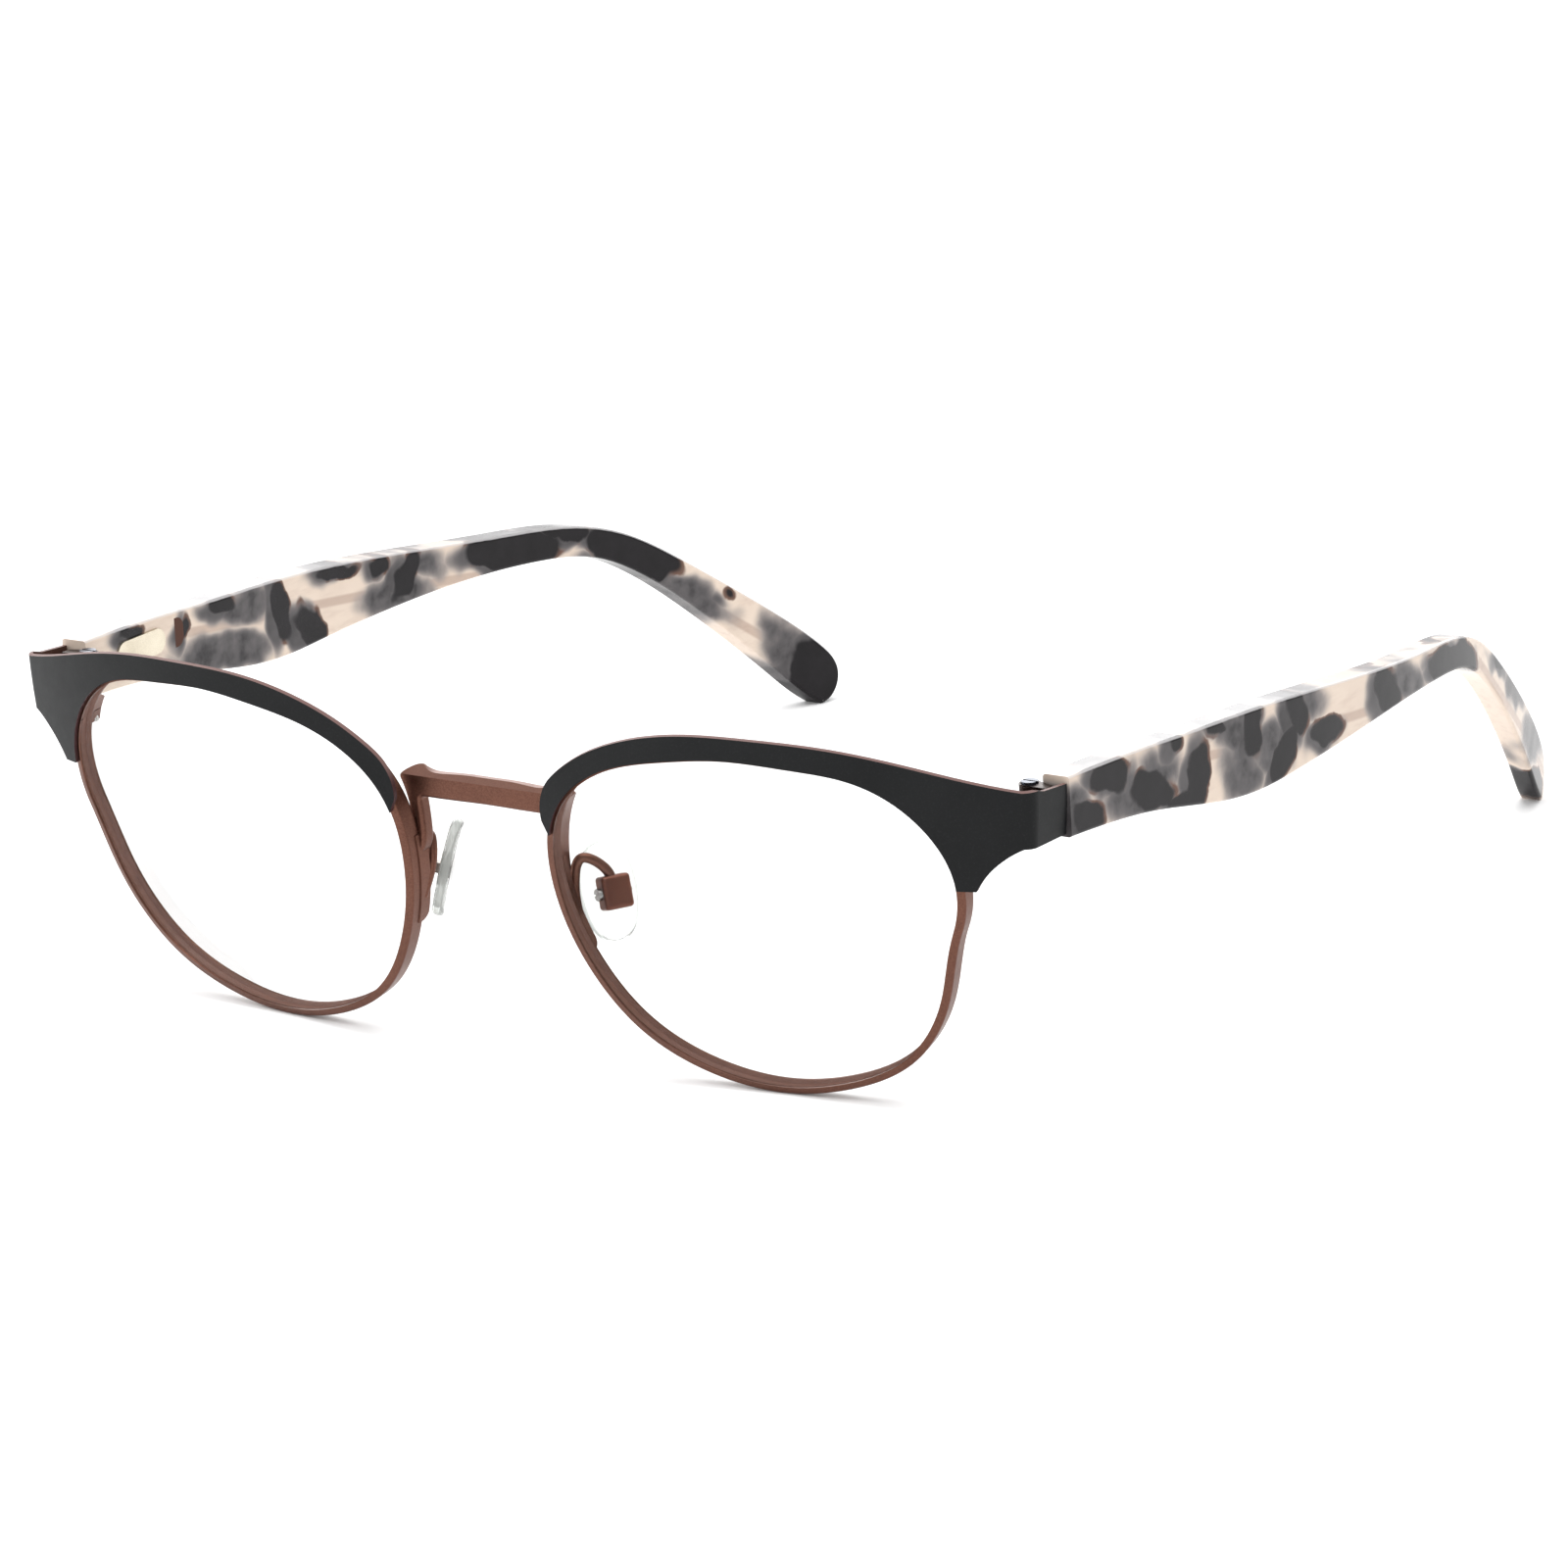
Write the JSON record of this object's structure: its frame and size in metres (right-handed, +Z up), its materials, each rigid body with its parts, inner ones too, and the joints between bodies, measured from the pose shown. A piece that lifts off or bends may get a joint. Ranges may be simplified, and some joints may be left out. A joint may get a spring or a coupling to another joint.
{
  "type": "eyeglasses",
  "caption": "Browline eyeglasses with full metal rims, dark plates over the upper rims, clear lenses, adjustable nose pads and mottled temples that fold on spring hinges.",
  "frame": {"origin": "middle of the base rectangle, on the plane the open glasses stand on with the rims' lowest points and the temple tips", "axes": "+X towards the wearer's left, +Y from the front towards the ears, +Z up"},
  "size_m": [0.1388, 0.1445, 0.0433],
  "materials": {
    "black_plate": "satin near-black lacquer",
    "copper_metal": "satin copper brown",
    "pad_metal": "satin brown",
    "screw_steel": "bright steel",
    "hinge_metal": "satin dark metal",
    "hinge_screw_metal": "blue-grey steel",
    "housing_metal": "cream lacquer",
    "core_metal": "satin steel",
    "lens_clear": "clear polished",
    "pad_silicone": "clear silicone",
    "acetate": "polished mottled cream, grey and black acetate"
  },
  "bodies": {
    "front": {"bridge": "copper_metal", "left_rim": "copper_metal", "left_lens": "lens_clear", "left_brow_plate": "black_plate", "left_closing_block_upper": "copper_metal", "left_closing_block_lower": "copper_metal", "left_closing_screw": "screw_steel", "left_pad_arm_base": "copper_metal", "left_pad_arm": "copper_metal", "left_pad_box": "pad_metal", "left_pad_screw": "screw_steel", "left_front_hinge": "hinge_metal", "right_rim": "copper_metal", "right_lens": "lens_clear", "right_brow_plate": "black_plate", "right_closing_block_upper": "copper_metal", "right_closing_block_lower": "copper_metal", "right_closing_screw": "screw_steel", "right_pad_arm_base": "copper_metal", "right_pad_arm": "copper_metal", "right_pad_box": "pad_metal", "right_pad_screw": "screw_steel", "right_front_hinge": "hinge_metal"},
    "left_pivot": {"left_hinge_screw": "hinge_screw_metal"},
    "left_link": {"left_hinge_knuckle": "hinge_metal", "left_hinge_stop": "screw_steel"},
    "left_arm": {"left_temple": "acetate", "left_hinge_housing": "housing_metal", "left_core_wire": "core_metal", "left_hinge_spring": "screw_steel"},
    "left_pad": {"left_nose_pad": "pad_silicone", "left_pad_insert": "core_metal"},
    "right_pivot": {"right_hinge_screw": "hinge_screw_metal"},
    "right_link": {"right_hinge_knuckle": "hinge_metal", "right_hinge_stop": "screw_steel"},
    "right_arm": {"right_temple": "acetate", "right_hinge_housing": "housing_metal", "right_core_wire": "core_metal", "right_hinge_spring": "screw_steel"},
    "right_pad": {"right_nose_pad": "pad_silicone", "right_pad_insert": "core_metal"}
  },
  "joints": [
    {"name": "left_flex", "type": "hinge", "parent": "front", "child": "left_pivot", "pos_m": [0.0644, -0.05545, 0.035], "axis": [0, 0, 1], "range_deg": [-12, 0], "stiffness_Nm_per_rad": 0.15, "springref_deg": 11.46},
    {"name": "left_fold", "type": "hinge", "parent": "left_pivot", "child": "left_link", "pos_m": [0.0644, -0.05545, 0.035], "axis": [0, 0, 1], "range_deg": [0, 85]},
    {"name": "left_slide", "type": "slide", "parent": "left_link", "child": "left_arm", "axis": [0, 1, 0], "range_m": [0, 0.001], "deforming": ["left_hinge_spring"]},
    {"name": "left_pad_tilt", "type": "hinge", "parent": "front", "child": "left_pad", "pos_m": [0.0131, -0.06195, 0.02045], "axis": [0.454, 0.891, 0], "range_deg": [-7, 7]},
    {"name": "right_flex", "type": "hinge", "parent": "front", "child": "right_pivot", "pos_m": [-0.0644, -0.05545, 0.035], "axis": [0, 0, -1], "range_deg": [-12, 0], "stiffness_Nm_per_rad": 0.15, "springref_deg": 11.46},
    {"name": "right_fold", "type": "hinge", "parent": "right_pivot", "child": "right_link", "pos_m": [-0.0644, -0.05545, 0.035], "axis": [0, 0, -1], "range_deg": [0, 79]},
    {"name": "right_slide", "type": "slide", "parent": "right_link", "child": "right_arm", "axis": [0, 1, 0], "range_m": [0, 0.001], "deforming": ["right_hinge_spring"]},
    {"name": "right_pad_tilt", "type": "hinge", "parent": "front", "child": "right_pad", "pos_m": [-0.0131, -0.06195, 0.02045], "axis": [-0.454, 0.891, 0], "range_deg": [-7, 7]}
  ],
  "couplings": [
    {"joint": "left_slide", "follows": "left_flex", "m_per_rad": -0.0046},
    {"joint": "right_slide", "follows": "right_flex", "m_per_rad": -0.0046}
  ]
}
